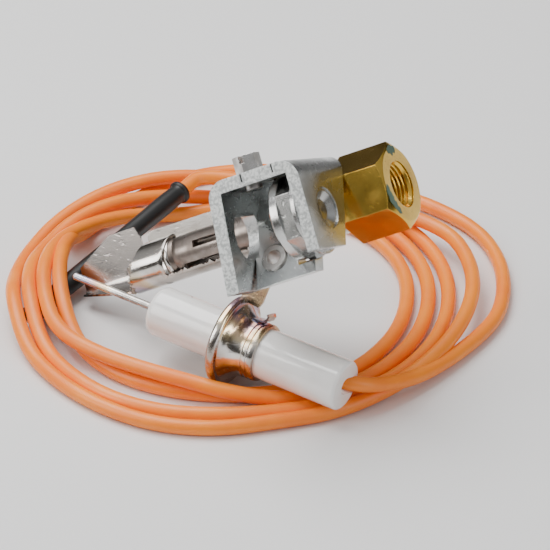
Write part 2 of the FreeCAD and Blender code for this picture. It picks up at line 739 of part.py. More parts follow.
def lead_tube(name, points, radius):
    """The lead's round section swept along its runs and arcs, with a check of its volume."""
    wire = lead_wire(points)
    start = points[0]
    section = Part.Wire([Part.makeCircle(radius, start, points[1] - start)])
    tube = wire.makePipeShell([section], True, False)
    length = wire.Length
    print("%s length %.1f mm, volume over section times length %.4f"
          % (name, length, tube.Volume / (math.pi * radius ** 2 * length)))
    piece = doc.addObject("Part::Feature", name)
    piece.Shape = tube
    return piece


def boot_place():
    """The boot's frame: x from the mouth where the lead goes in towards the terminal."""
    return Placement(BOOT_ENTRY, Rotation(Vector(1, 0, 0), BOOT_EXIT - BOOT_ENTRY))


def start_points():
    """From the ferrule out of the ceramic's slot to the coil."""
    inner = electrode_place().multVec(Vector(number(LEAD_START), 0, 0))
    mouth = electrode_place().multVec(Vector(size("ceramic_right") - 0.4, 0, 0))
    return [inner, mouth] + [Vector(*point) for point in START_ROUTE]


def end_points():
    """From the coil into the boot as far as the terminal's barrel."""
    mouth = boot_place().multVec(Vector(-size("lead_before_boot"), 0, 0))
    crimp = boot_place().multVec(Vector(size("lead_in_boot"), 0, 0))
    return [Vector(*point) for point in END_ROUTE] + [mouth, crimp]


def make_lead_tubes():
    """The two stretches of lead that aren't coiled."""
    radius = size("lead_radius")
    start = lead_tube("StartTube", start_points(), radius)
    finish_node(start, "lead_start", Placement())
    end = lead_tube("EndTube", end_points(), radius)
    finish_node(end, "lead_end", Placement())


def make_boot():
    """Rubber sleeve over the terminal, with a lip where the lead goes in and a flat mouth."""
    sleeve = turned("BootSleeve", [
        (ZERO, "lead_radius"),
        (ZERO, "boot_lip_radius"),
        ("boot_lip_long", "boot_lip_radius"),
        ("boot_lip_long", "boot_radius"),
        ("boot_long", "boot_radius"),
        ("boot_long", ZERO),
        ("lead_in_boot", ZERO),
        ("lead_in_boot", "lead_radius"),
    ])
    mouth = box_between("BootMouth", ["lead_in_boot", "0 - boot_mouth_wide / 2", "0 - boot_mouth_thick / 2"],
                        ["boot_long + 1", "boot_mouth_wide / 2", "boot_mouth_thick / 2"])
    finish_node(cut("Boot", sleeve, mouth), "lead_boot", boot_place())


def make_terminal():
    """Push-on receptacle: a folded sheet box, open at the boot's mouth."""
    left = "lead_in_boot"
    right = "boot_long + terminal_proud"
    block = box_between("TerminalBlock", [left, "0 - terminal_wide / 2", "0 - terminal_thick / 2"],
                        [right, "terminal_wide / 2", "terminal_thick / 2"])
    hollow = box_between("TerminalHollow",
                         [left + " + 9", "terminal_wall - terminal_wide / 2", "terminal_wall - terminal_thick / 2"],
                         [right + " + 1", "terminal_wide / 2 - terminal_wall", "terminal_thick / 2 - terminal_wall"])
    finish_node(cut("Terminal", block, hollow), "lead_terminal", boot_place())


def make_coil():
    """The loose coil as one ring, with room for what lies in it."""
    low = ["1 * coil_east", "1 * coil_north", ZERO]
    outer = bar("CoilOuter", low, "coil_high", "coil_outer_radius", Rotation())
    inner = bar("CoilInner", low, "coil_high", "coil_inner_radius", Rotation())
    wide = size("lead_radius") + size("coil_room")
    start_room = lead_tube("StartRoom", start_points(), wide)
    end_room = lead_tube("EndRoom", end_points(), wide)
    electrode = fuse("ElectrodeSpace",
                     bar("CeramicSpace", ["0 - ceramic_left - 1", ZERO, ZERO],
                         "ceramic_left + ceramic_right + 2", "ceramic_radius + coil_room"),
                     bar("RodSpace", ["0 - rod_left - 1", ZERO, ZERO], "rod_left", "rod_radius + coil_room"),
                     bar("FlangeSpace", ["0 - flange_thick", ZERO, ZERO], "flange_thick + flange_sleeve_end",
                         "flange_radius + coil_room"))
    electrode = placed("ElectrodeRoom", electrode, electrode_place())
    wing = box_between("WingSpace", ["0 - wing_left - coil_room", "0 - hood_radius - coil_room",
                                     "0 - hood_radius - coil_room"],
                       ["0 - hood_right", "hood_radius + coil_room", "wing_high + coil_room"])
    wing = placed("WingRoom", wing, burner_place())
    boot = bar("BootSpace", ["0 - coil_room", ZERO, ZERO], "boot_long + terminal_proud + 2 * coil_room",
               "boot_lip_radius + coil_room")
    boot = placed("BootRoom", boot, boot_place())
    ring = cut("Coil", outer, inner, start_room, end_room, electrode, wing, boot)
    finish_node(ring, "lead_coil", Placement())


# ---- build and export ---------------------------------------------------------------------------


def build():
    """Every sub-part in turn."""
    make_bracket()
    make_clamp_screw()
    make_port_stack()
    make_eyelet()
    make_inlet()
    make_mixer()
    make_burner_tube()
    make_hood()
    make_wing()
    make_flange()
    make_strap()
    make_ceramic()
    make_rod()
    make_lead_tubes()
    make_boot()
    make_terminal()
    make_coil()


def check():
    """Stop before anything is written if an object failed or a sub-part has no sound solid."""
    for item in doc.Objects:
        if "Invalid" in item.State or "Error" in item.State:
            raise ValueError(item.Name + " failed")
    for node in NODES:
        if node.Shape.isNull() or not node.Shape.isValid() or len(node.Shape.Solids) != 1:
            raise ValueError(node.Label + " has no single sound solid")


def export():
    """One STEP file per sub-part."""
    os.makedirs("parts", exist_ok=True)
    for node in NODES:
        node.Shape.exportStep("parts/%s.step" % node.Label)
        box = node.Shape.BoundBox
        print("%-18s %9.1f mm3  z %.2f to %.2f" % (node.Label, node.Shape.Volume, box.ZMin, box.ZMax))


build()
doc.recompute()
check()
export()
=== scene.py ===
import json
import math
import random

import bmesh
import bpy
from mathutils import Matrix, Vector, noise


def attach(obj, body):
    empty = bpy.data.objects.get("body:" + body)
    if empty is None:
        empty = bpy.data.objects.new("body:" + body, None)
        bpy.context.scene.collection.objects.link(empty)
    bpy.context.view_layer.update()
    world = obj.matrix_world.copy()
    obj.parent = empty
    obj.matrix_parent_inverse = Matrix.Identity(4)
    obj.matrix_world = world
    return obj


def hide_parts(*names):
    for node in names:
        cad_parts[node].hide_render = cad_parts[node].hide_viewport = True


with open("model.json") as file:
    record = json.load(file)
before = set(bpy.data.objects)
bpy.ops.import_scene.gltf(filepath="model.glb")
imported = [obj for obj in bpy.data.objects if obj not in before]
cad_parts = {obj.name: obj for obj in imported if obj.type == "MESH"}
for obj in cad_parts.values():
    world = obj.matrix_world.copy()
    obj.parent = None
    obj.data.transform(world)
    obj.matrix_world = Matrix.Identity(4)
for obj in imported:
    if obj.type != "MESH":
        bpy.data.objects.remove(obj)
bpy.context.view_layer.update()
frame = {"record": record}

# A gas pilot burner with a spark electrode, lying on its own coiled lead. Metres. Sizes of single
# pieces are given in millimetres in the burner's, electrode's or boot's own frame.

MM = 0.001


def milli(*numbers):
    """Millimetres as a vector in metres."""
    return Vector(numbers) * MM


# ---- the three frames that pieces are built in --------------------------------------------------

mounts = {mount["name"]: mount for mount in frame["record"]["mounts"]}
LEG_DEPTH_TOP = 24.7
LEG_DEPTH_BASE = 11.5
LEG_DROP = 25.4
WALL_LEAN = math.atan((LEG_DEPTH_TOP - LEG_DEPTH_BASE) / LEG_DROP)
INLET_MOUTH = 9.4
THREAD_DEEP = 9.0


def axes_at(along, back, up, origin):
    """A frame with the given axes and origin."""
    place = Matrix.Identity(4)
    for column, axis in enumerate((along, back, up, origin)):
        for row in range(3):
            place[row][column] = axis[row]
    return place


def burner_frame():
    """x along the burner to the inlet, y to the back, z up, from the inlet and the screw hole."""
    along = Vector(mounts["inlet_thread"]["axis"]).normalized()
    through = -Vector(mounts["bracket_screw_hole"]["axis"]).normalized()
    slope = along.cross(through)
    back = through * math.cos(WALL_LEAN) + slope * math.sin(WALL_LEAN)
    up = slope * math.cos(WALL_LEAN) - through * math.sin(WALL_LEAN)
    origin = Vector(mounts["inlet_thread"]["pos_m"]) - along * (INLET_MOUTH - THREAD_DEEP / 2) * MM
    return axes_at(along, back, up, origin)


def boot_frame():
    """x from the mouth where the lead goes in to the terminal."""
    tip = mounts["lead_terminal_mouth"]
    along = Vector(tip["axis"]).normalized()
    back = Vector((0, 0, 1)).cross(along).normalized()
    return axes_at(along, back, along.cross(back), Vector(tip["pos_m"]) - along * BOOT_TO_TIP * MM)


BOOT_TO_TIP = 63.4
ELECTRODE_OFFSET = milli(-39.1, -8.0, -23.1)
ELECTRODE_TURN = math.radians(35.5)
BURNER = burner_frame()
ELECTRODE = BURNER @ Matrix.Translation(ELECTRODE_OFFSET) @ Matrix.Rotation(ELECTRODE_TURN, 4, "Y")
BOOT = boot_frame()

# ---- camera, floor and light --------------------------------------------------------------------

VIEW_TARGET = Vector((0.0074, 0.0363, 0.0))
VIEW_ELEVATION = math.radians(33.0)
VIEW_DISTANCE = 0.85
VIEW_WIDTH = 0.1341
SENSOR = 36.0


def place_camera():
    """Long lens, looking straight back and down."""
    data = bpy.data.cameras.new("camera")
    data.sensor_width = SENSOR
    data.lens = SENSOR * VIEW_DISTANCE / VIEW_WIDTH
    data.clip_start = 0.01
    camera = bpy.data.objects.new("camera", data)
    bpy.context.scene.collection.objects.link(camera)
    away = Vector((0, -math.cos(VIEW_ELEVATION), math.sin(VIEW_ELEVATION)))
    camera.location = VIEW_TARGET + away * VIEW_DISTANCE
    camera.rotation_euler = (math.pi / 2 - VIEW_ELEVATION, 0, 0)
    bpy.context.scene.camera = camera


def softbox(name, place, aim, wide, high, power, colour=(1, 1, 1)):
    """One rectangular studio light."""
    data = bpy.data.lights.new(name, "AREA")
    data.shape = "RECTANGLE"
    data.size = wide
    data.size_y = high
    data.energy = power
    data.color = colour
    light = bpy.data.objects.new(name, data)
    light.location = place
    light.rotation_euler = (Vector(aim) - Vector(place)).to_track_quat("-Z", "Y").to_euler()
    bpy.context.scene.collection.objects.link(light)


def light_scene():
    """Soft light from above, a little more from the left, and a pale room that grades darker below."""
    softbox("top_box", (-0.25, 0.25, 0.75), (0, 0.03, 0), 0.7, 0.6, 9.0)
    softbox("left_box", (-0.7, -0.25, 0.45), (0, 0, 0.02), 0.35, 0.5, 3.2, (1, 0.985, 0.96))
    softbox("right_strip", (0.6, -0.45, 0.35), (0, 0, 0.03), 0.12, 0.5, 1.6)
    world = bpy.data.worlds.new("studio")
    bpy.context.scene.world = world
    world.use_nodes = True
    nodes = world.node_tree.nodes
    links = world.node_tree.links
    where = nodes.new("ShaderNodeTexCoord")
    split = nodes.new("ShaderNodeSeparateXYZ")
    ramp = nodes.new("ShaderNodeValToRGB")
    links.new(where.outputs["Generated"], split.inputs[0])
    links.new(split.outputs["Z"], ramp.inputs[0])
    ramp.color_ramp.elements[0].position = 0.0
    ramp.color_ramp.elements[0].color = (0.05, 0.045, 0.04, 1)
    ramp.color_ramp.elements[1].position = 0.8
    ramp.color_ramp.elements[1].color = (0.92, 0.93, 0.95, 1)
    middle = ramp.color_ramp.elements.new(0.35)
    middle.color = (0.13, 0.125, 0.12, 1)
    back = nodes["Background"]
    links.new(ramp.outputs[0], back.inputs["Color"])
    back.inputs["Strength"].default_value = 0.62


place_camera()
light_scene()

# ---- node groups that more than one finish uses ---------------------------------------------------


def new_group(name, inputs, outputs):
    """An empty shader group with named sockets."""
    group = bpy.data.node_groups.new(name, "ShaderNodeTree")
    for label, kind, value in inputs:
        socket = group.interface.new_socket(label, in_out="INPUT", socket_type="NodeSocket" + kind)
        socket.default_value = value
    for label, kind in outputs:
        group.interface.new_socket(label, in_out="OUTPUT", socket_type="NodeSocket" + kind)
    return group, group.nodes.new("NodeGroupInput"), group.nodes.new("NodeGroupOutput")


def maths(tree, operation, first, second=None, clamp=False):
    """A Math node whose inputs are sockets or numbers."""
    made = tree.nodes.new("ShaderNodeMath")
    made.operation = operation
    made.use_clamp = clamp
    for socket, value in zip(made.inputs, (first, second)):
        if isinstance(value, (int, float)):
            socket.default_value = value
        elif value is not None:
            tree.links.new(value, socket)
    return made.outputs[0]


def mixed(tree, factor, first, second, blend="MIX"):
    """A colour Mix node whose inputs are sockets or colours."""
    made = tree.nodes.new("ShaderNodeMix")
    made.data_type = "RGBA"
    made.blend_type = blend
    for socket, value in zip((made.inputs[0], made.inputs[6], made.inputs[7]), (factor, first, second)):
        if isinstance(value, bpy.types.NodeSocket):
            tree.links.new(value, socket)
        else:
            socket.default_value = value
    return made.outputs[2]


def ranged(tree, value, low, high, to_low=0.0, to_high=1.0):
    """A clamped Map Range node."""
    made = tree.nodes.new("ShaderNodeMapRange")
    tree.links.new(value, made.inputs[0])
    for index, number in enumerate((low, high, to_low, to_high), start=1):
        if isinstance(number, bpy.types.NodeSocket):
            tree.links.new(number, made.inputs[index])
        else:
            made.inputs[index].default_value = number
    return made.outputs[0]


def noise_value(tree, where, scale, detail=3.0, stretch=None):
    """Noise at a place, at a scale that is a socket or a number."""
    if stretch is not None:
        mapping = tree.nodes.new("ShaderNodeMapping")
        mapping.inputs["Scale"].default_value = stretch
        tree.links.new(where, mapping.inputs["Vector"])
        where = mapping.outputs[0]
    made = tree.nodes.new("ShaderNodeTexNoise")
    made.inputs["Detail"].default_value = detail
    tree.links.new(where, made.inputs["Vector"])
    if isinstance(scale, bpy.types.NodeSocket):
        tree.links.new(scale, made.inputs["Scale"])
    else:
        made.inputs["Scale"].default_value = scale
    return made.outputs["Fac"]


def build_metal_wear():
    """Smudged colour, hairline scratches and a fine grain for metals."""
    group, given, put = new_group("metal_wear", [
        ("Bright", "Color", (0.8, 0.8, 0.8, 1)),
        ("Dull", "Color", (0.5, 0.5, 0.5, 1)),
        ("Smudge Scale", "Float", 120.0),
        ("Rough Low", "Float", 0.15),
        ("Rough High", "Float", 0.4),
        ("Grain Scale", "Float", 2600.0),
    ], [("Color", "Color"), ("Roughness", "Float"), ("Height", "Float")])
    where = group.nodes.new("ShaderNodeTexCoord").outputs["Object"]
    broad = noise_value(group, where, given.outputs["Smudge Scale"], 5.0)
    grain = noise_value(group, where, given.outputs["Grain Scale"], 2.0)
    hair_a = noise_value(group, where, 900.0, 2.0, (0.12, 1.0, 1.6))
    hair_b = noise_value(group, where, 900.0, 2.0, (1.4, 0.1, 1.0))
    hair = maths(group, "MAXIMUM", ranged(group, hair_a, 0.64, 0.72), ranged(group, hair_b, 0.66, 0.74))
    tone = ranged(group, broad, 0.36, 0.66)
    colour = mixed(group, tone, given.outputs["Bright"], given.outputs["Dull"])
    group.links.new(mixed(group, maths(group, "MULTIPLY", hair, 0.25), colour, given.outputs["Bright"]),
                    put.inputs["Color"])
    spread = maths(group, "ADD", maths(group, "MULTIPLY", tone, 0.65), maths(group, "MULTIPLY", grain, 0.3))
    spread = maths(group, "ADD", spread, maths(group, "MULTIPLY", hair, 0.2), True)
    group.links.new(ranged(group, spread, 0.0, 1.0, given.outputs["Rough Low"], given.outputs["Rough High"]),
                    put.inputs["Roughness"])
    group.links.new(maths(group, "SUBTRACT", maths(group, "MULTIPLY", grain, 0.4), hair), put.inputs["Height"])
    return group


def build_heat_tint():
    """Straw, purple and blue oxide bands that fade away from a hot spot."""
    group, given, put = new_group("heat_tint", [
        ("Base", "Color", (0.7, 0.7, 0.7, 1)),
        ("Hot Spot", "Vector", (0, 0, 0)),
        ("Reach", "Float", 0.01),
        ("Strength", "Float", 0.6),
    ], [("Color", "Color")])
    where = group.nodes.new("ShaderNodeTexCoord").outputs["Object"]
    away = group.nodes.new("ShaderNodeVectorMath")
    away.operation = "DISTANCE"
    group.links.new(where, away.inputs[0])
    group.links.new(given.outputs["Hot Spot"], away.inputs[1])
    wobble = maths(group, "MULTIPLY", maths(group, "SUBTRACT", noise_value(group, where, 260.0), 0.5), 0.5)
    band = maths(group, "ADD", maths(group, "DIVIDE", away.outputs["Value"], given.outputs["Reach"]), wobble)
    ramp = group.nodes.new("ShaderNodeValToRGB")
    group.links.new(band, ramp.inputs[0])
    colours = [(0.0, (0.55, 0.50, 0.44)), (0.22, (0.30, 0.36, 0.52)), (0.40, (0.42, 0.24, 0.38)),
               (0.58, (0.66, 0.40, 0.20)), (0.78, (0.84, 0.66, 0.36)), (1.0, (1, 1, 1))]
    stops = ramp.color_ramp.elements
    stops[1].position = 1.0
    for position, colour in colours[1:-1]:
        stops.new(position)
    for stop, (position, colour) in zip(stops, colours):
        stop.position = position
        stop.color = (*colour, 1)
    fade = ranged(group, band, 0.9, 1.15, 1.0, 0.0)
    amount = maths(group, "MULTIPLY", fade, given.outputs["Strength"], True)
    group.links.new(mixed(group, amount, given.outputs["Base"], ramp.outputs[0]), put.inputs["Color"])
    return group


def build_facing():
    """One where a surface faces a direction, such as the sheared edges of sheet."""
    group, given, put = new_group("facing", [
        ("Direction", "Vector", (0, -1, 0)),
        ("From", "Float", 0.9),
        ("To", "Float", 0.97),
    ], [("Mask", "Float")])
    normal = group.nodes.new("ShaderNodeNewGeometry").outputs["True Normal"]
    dot = group.nodes.new("ShaderNodeVectorMath")
    dot.operation = "DOT_PRODUCT"
    group.links.new(normal, dot.inputs[0])
    group.links.new(given.outputs["Direction"], dot.inputs[1])
    group.links.new(ranged(group, dot.outputs["Value"], given.outputs["From"], given.outputs["To"]),
                    put.inputs["Mask"])
    return group


def build_specks():
    """Sparse round specks, such as dust or pits in a glaze."""
    group, given, put = new_group("specks", [
        ("Scale", "Float", 400.0),
        ("Size", "Float", 0.12),
        ("Share", "Float", 0.1),
    ], [("Mask", "Float")])
    where = group.nodes.new("ShaderNodeTexCoord").outputs["Object"]
    cells = group.nodes.new("ShaderNodeTexVoronoi")
    group.links.new(where, cells.inputs["Vector"])
    group.links.new(given.outputs["Scale"], cells.inputs["Scale"])
    split = group.nodes.new("ShaderNodeSeparateColor")
    group.links.new(cells.outputs["Color"], split.inputs[0])
    chosen = maths(group, "LESS_THAN", split.outputs[0], given.outputs["Share"])
    near = maths(group, "LESS_THAN", cells.outputs["Distance"], given.outputs["Size"])
    group.links.new(maths(group, "MULTIPLY", chosen, near), put.inputs["Mask"])
    return group


METAL_WEAR = build_metal_wear()
HEAT_TINT = build_heat_tint()
FACING = build_facing()
SPECKS = build_specks()

# ---- finishes -------------------------------------------------------------------------------------


def new_finish(name, **sockets):
    """A material with its Principled shader's plain sockets set."""
    made = bpy.data.materials.new(name)
    made.use_nodes = True
    shader = made.node_tree.nodes["Principled BSDF"]
    for label, value in sockets.items():
        shader.inputs[label.replace("_", " ")].default_value = value
    return made, made.node_tree, shader


def use_group(tree, group, **values):
    """A group placed in a material, with its own values or links."""
    made = tree.nodes.new("ShaderNodeGroup")
    made.node_tree = group
    for label, value in values.items():
        socket = made.inputs[label.replace("_", " ")]
        if isinstance(value, bpy.types.NodeSocket):
            tree.links.new(value, socket)
        else:
            socket.default_value = value
    return made


def raise_surface(tree, shader, height, distance, strength=0.3, round_edges=0.0):
    """Bump, on top of rounded edges where asked."""
    bump = tree.nodes.new("ShaderNodeBump")
    bump.inputs["Strength"].default_value = strength
    bump.inputs["Distance"].default_value = distance
    tree.links.new(height, bump.inputs["Height"])
    if round_edges:
        bevel = tree.nodes.new("ShaderNodeBevel")
        bevel.samples = 4
        bevel.inputs["Radius"].default_value = round_edges
        tree.links.new(bevel.outputs[0], bump.inputs["Normal"])
    tree.links.new(bump.outputs[0], shader.inputs["Normal"])


def metal_finish(name, bright, dull, rough, smudge=120.0, grain=2600.0, edges=0.00025, heat=None, sheared=None):
    """A worn metal, with heat tint at a spot and frosted sheared edges where asked."""
    made, tree, shader = new_finish(name, Metallic=1.0)
    wear = use_group(tree, METAL_WEAR, Bright=(*bright, 1), Dull=(*dull, 1), Smudge_Scale=smudge,
                     Rough_Low=rough[0], Rough_High=rough[1], Grain_Scale=grain)
    colour = wear.outputs["Color"]
    roughness = wear.outputs["Roughness"]
    if heat:
        spot, reach, strength = heat
        colour = use_group(tree, HEAT_TINT, Base=colour, Hot_Spot=spot, Reach=reach, Strength=strength).outputs[0]
    if sheared:
        mask = use_group(tree, FACING, Direction=sheared).outputs[0]
        grit = noise_value(tree, tree.nodes.new("ShaderNodeTexCoord").outputs["Object"], 1500.0, 4.0)
        frost = mixed(tree, ranged(tree, grit, 0.42, 0.60), (0.74, 0.76, 0.75, 1), (0.40, 0.42, 0.42, 1))
        colour = mixed(tree, maths(tree, "MULTIPLY", mask, 0.9), colour, frost)
        roughness = maths(tree, "ADD", roughness, maths(tree, "MULTIPLY", mask, 0.22), True)
    tree.links.new(colour, shader.inputs["Base Color"])
    tree.links.new(roughness, shader.inputs["Roughness"])
    raise_surface(tree, shader, wear.outputs["Height"], 0.00003, 0.35, edges)
    return made


def soft_finish(name, light, dark, rough, speck, speck_share, smudge=90.0, grain=1800.0, edges=0.0, **sockets):
    """Glaze, silicone or rubber: two close tones, a fine grain and sparse specks."""
    made, tree, shader = new_finish(name, **sockets)
    wear = use_group(tree, METAL_WEAR, Bright=(*light, 1), Dull=(*dark, 1), Smudge_Scale=smudge,
                     Rough_Low=rough[0], Rough_High=rough[1], Grain_Scale=grain)
    dots = use_group(tree, SPECKS, Scale=420.0, Size=0.13, Share=speck_share)
    tree.links.new(mixed(tree, dots.outputs[0], wear.outputs["Color"], (*speck, 1)), shader.inputs["Base Color"])
    tree.links.new(wear.outputs["Roughness"], shader.inputs["Roughness"])
    raise_surface(tree, shader, wear.outputs["Height"], 0.00002, 0.25, edges)
    return made


FRONT_EDGE = BURNER.to_3x3() @ Vector((0, -1, 0))
FLANGE_SPOT = ELECTRODE @ milli(2, 0, 9)
WELD_SPOT = BURNER @ milli(-62.5, -1, -4)
STRAP_SPOT = ELECTRODE @ milli(2, 6, 12)

bracket_zinc = metal_finish("bracket_zinc", (0.62, 0.64, 0.64), (0.38, 0.39, 0.38), (0.16, 0.38), 90.0,
                            sheared=FRONT_EDGE)
plug_zinc = metal_finish("plug_zinc", (0.66, 0.67, 0.66), (0.40, 0.40, 0.39), (0.14, 0.32), 150.0)
washer_steel = metal_finish("washer_steel", (0.62, 0.62, 0.61), (0.42, 0.42, 0.41), (0.16, 0.34))
screw_steel = metal_finish("screw_steel_worn", (0.66, 0.65, 0.63), (0.40, 0.38, 0.36), (0.22, 0.44), 300.0)
hood_steel = metal_finish("hood_steel", (0.76, 0.73, 0.69), (0.50, 0.46, 0.42), (0.10, 0.28), 110.0, edges=0,
                          heat=(WELD_SPOT, 0.006, 0.55))
wing_steel = metal_finish("wing_steel", (0.58, 0.54, 0.51), (0.40, 0.36, 0.34), (0.12, 0.28), 100.0, edges=0,
                          heat=(WELD_SPOT, 0.007, 0.5))
tube_steel = metal_finish("tube_steel", (0.36, 0.31, 0.28), (0.17, 0.14, 0.12), (0.24, 0.46), 240.0)
flange_steel = metal_finish("flange_steel", (0.60, 0.55, 0.50), (0.34, 0.29, 0.25), (0.13, 0.34), 160.0, edges=0,
                            heat=(FLANGE_SPOT, 0.013, 0.7))
strap_steel = metal_finish("strap_steel", (0.46, 0.36, 0.30), (0.28, 0.20, 0.16), (0.14, 0.34), 140.0,
                           heat=(STRAP_SPOT, 0.010, 0.6))
weld_steel = metal_finish("weld_steel", (0.58, 0.52, 0.44), (0.24, 0.20, 0.17), (0.25, 0.5), 600.0, edges=0)
rod_steel = metal_finish("rod_steel", (0.46, 0.44, 0.42), (0.28, 0.26, 0.24), (0.20, 0.38), 500.0, edges=0,
                         heat=(ELECTRODE @ milli(-44.5, 0, 0), 0.012, 0.6))
inlet_brass = metal_finish("inlet_brass", (0.90, 0.60, 0.11), (0.62, 0.36, 0.06), (0.12, 0.30), 80.0)
body_steel = metal_finish("body_steel", (0.66, 0.62, 0.56), (0.46, 0.41, 0.36), (0.20, 0.42), 130.0)
terminal_tin = metal_finish("terminal_tin", (0.82, 0.79, 0.72), (0.60, 0.56, 0.49), (0.18, 0.36), 300.0, edges=0)
ceramic_glaze = soft_finish("ceramic_glaze", (0.93, 0.92, 0.90), (0.88, 0.86, 0.83), (0.10, 0.22),
                            (0.05, 0.045, 0.04), 0.02, Coat_Weight=0.6, Coat_Roughness=0.06)
lead_silicone = soft_finish("lead_silicone", (1.0, 0.27, 0.012), (0.93, 0.205, 0.006), (0.32, 0.48),
                            (1.0, 0.46, 0.16), 0.03, Subsurface_Weight=0.08, Subsurface_Scale=0.001,
                            Subsurface_Radius=(1.0, 0.3, 0.1))
boot_rubber = soft_finish("boot_rubber", (0.012, 0.0115, 0.011), (0.006, 0.006, 0.006), (0.32, 0.52),
                          (0.10, 0.095, 0.09), 0.06)
paint_green = soft_finish("paint_green", (0.035, 0.10, 0.05), (0.02, 0.06, 0.035), (0.25, 0.5),
                          (0.10, 0.16, 0.10), 0.1)
floor_paint = soft_finish("floor_paint", (0.80, 0.795, 0.79), (0.79, 0.785, 0.78), (0.55, 0.7),
                          (0.77, 0.765, 0.76), 0.02, smudge=6.0, grain=300.0)

# ---- shapes ---------------------------------------------------------------------------------------


def finish_piece(mesh, name, finish, replaces=None, sharp=35.0):
    """A mesh becomes a named piece on the root body, with its finish."""
    mesh.materials.append(finish)
    mesh.polygons.foreach_set("use_smooth", [True] * len(mesh.polygons))
    mesh.set_sharp_from_angle(angle=math.radians(sharp))
    piece = bpy.data.objects.new(name, mesh)
    bpy.context.scene.collection.objects.link(piece)
    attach(piece, "root")
    if replaces:
        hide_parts(replaces)
    return piece


def mesh_of(name, points, faces):
    """A mesh with its faces turned outwards."""
    made = bmesh.new()
    corners = [made.verts.new(point) for point in points]
    for face in faces:
        made.faces.new([corners[index] for index in face])
    bmesh.ops.remove_doubles(made, verts=made.verts, dist=1e-7)
    bmesh.ops.recalc_face_normals(made, faces=made.faces)
    mesh = bpy.data.meshes.new(name)
    made.to_mesh(mesh)
    made.free()
    return mesh


def bend(x, radius, size, start, end, steps=6):
    """Points of a rounded corner in a lathe profile, round (x, radius), angles in degrees."""
    turns = [math.radians(start + (end - start) * step / steps) for step in range(steps + 1)]
    return [(x + size * math.cos(turn), radius + size * math.sin(turn)) for turn in turns]


def lathe(name, place, profile, steps=96, wobble=0.0):
    """A closed profile of (x, radius) in millimetres turned about x."""
    points = []
    for step in range(steps):
        turn = 2 * math.pi * step / steps
        for x, radius in profile:
            extra = wobble * noise.noise(Vector((x * 0.4, math.cos(turn) * 2, math.sin(turn) * 2)))
            reach = max(radius + extra * (radius > 0.01), 0.0)
            points.append(place @ milli(x, reach * math.cos(turn), reach * math.sin(turn)))
    count = len(profile)
    faces = []
    for step in range(steps):
        here = step * count
        there = (step + 1) % steps * count
        for index in range(count):
            after = (index + 1) % count
            if profile[index][1] < 1e-6 and profile[after][1] < 1e-6:
                continue
            if profile[index][1] < 1e-6:
                faces.append((here + index, here + after, there + after))
            elif profile[after][1] < 1e-6:
                faces.append((here + index, here + after, there + index))
            else:
                faces.append((here + index, here + after, there + after, there + index))
    return mesh_of(name, points, faces)


def sheet_grid(name, place, rows, thick):
    """Sheet metal through a grid of points in millimetres, thickened about its middle."""
    across = len(rows[0])
    points = [place @ milli(*point) for row in rows for point in row]
    faces = []
    for row in range(len(rows) - 1):
        for column in range(across - 1):
            corner = row * across + column
            faces.append((corner, corner + 1, corner + across + 1, corner + across))
    flat = mesh_of(name + "_flat", points, faces)
    holder = bpy.data.objects.new(name + "_flat", flat)
    bpy.context.scene.collection.objects.link(holder)
    thicken = holder.modifiers.new("thick", "SOLIDIFY")
    thicken.thickness = thick * MM
    thicken.offset = 0.0
    thicken.use_even_offset = True
    ready = holder.evaluated_get(bpy.context.evaluated_depsgraph_get())
    mesh = bpy.data.meshes.new_from_object(ready)
    bpy.data.objects.remove(holder)
    return mesh


def eased(value, low, high):
    """Smooth step from 0 at low to 1 at high."""
    share = min(max((value - low) / (high - low), 0.0), 1.0)
    return share * share * (3 - 2 * share)


def cut_from(mesh, cutters):
    """Boolean difference with other meshes."""
    holder = bpy.data.objects.new("cut_base", mesh)
    bpy.context.scene.collection.objects.link(holder)
    tools = []
    for cutter in cutters:
        tool = bpy.data.objects.new("cut_tool", cutter)
        bpy.context.scene.collection.objects.link(tool)
        step = holder.modifiers.new("cut", "BOOLEAN")
        step.object = tool
        step.solver = "EXACT"
        tools.append(tool)
    ready = holder.evaluated_get(bpy.context.evaluated_depsgraph_get())
    made = bpy.data.meshes.new_from_object(ready)
    for item in [holder] + tools:
        bpy.data.objects.remove(item)
    return made


def block_mesh(name, place, low, high):
    """A box in millimetres, as a cutter."""
    xs, ys, zs = zip(low, high)
    points = [place @ milli(x, y, z) for x in xs for y in ys for z in zs]
    faces = [(0, 1, 3, 2), (4, 6, 7, 5), (0, 4, 5, 1), (2, 3, 7, 6), (0, 2, 6, 4), (1, 5, 7, 3)]
    return mesh_of(name, points, faces)


# ---- floor ----------------------------------------------------------------------------------------


def make_floor():
    """Pale table top."""
    half = 1.5
    corners = [(-half, -half, 0), (half, -half, 0), (half, half, 0), (-half, half, 0)]
    mesh = mesh_of("table", corners, [(0, 1, 2, 3)])
    mesh.materials.append(floor_paint)
    table = bpy.data.objects.new("table", mesh)
    bpy.context.scene.collection.objects.link(table)


make_floor()

# ---- the lead -------------------------------------------------------------------------------------

LEAD_RADIUS = 1.8
COIL_CENTRE = (4.5, 26.4)
STEPS_A_TURN = 26
START_ROUTE = [(35.6, -16.8, 4.5), (46.0, -6.5, 2.4)]
END_ROUTE = [(38.0, 56.0, 6.0)]
LEAD_IN_BOOT = 42.0
LEAD_BEFORE_BOOT = 10.0
CROSSING_FROM = 30.0 * MM
CROSSING_TO = (BOOT_TO_TIP + 3.0) * MM
CROSSING_RISE = (2.6 + LEAD_RADIUS + 0.3) * MM
ALREADY_HIGH = 7.5 * MM

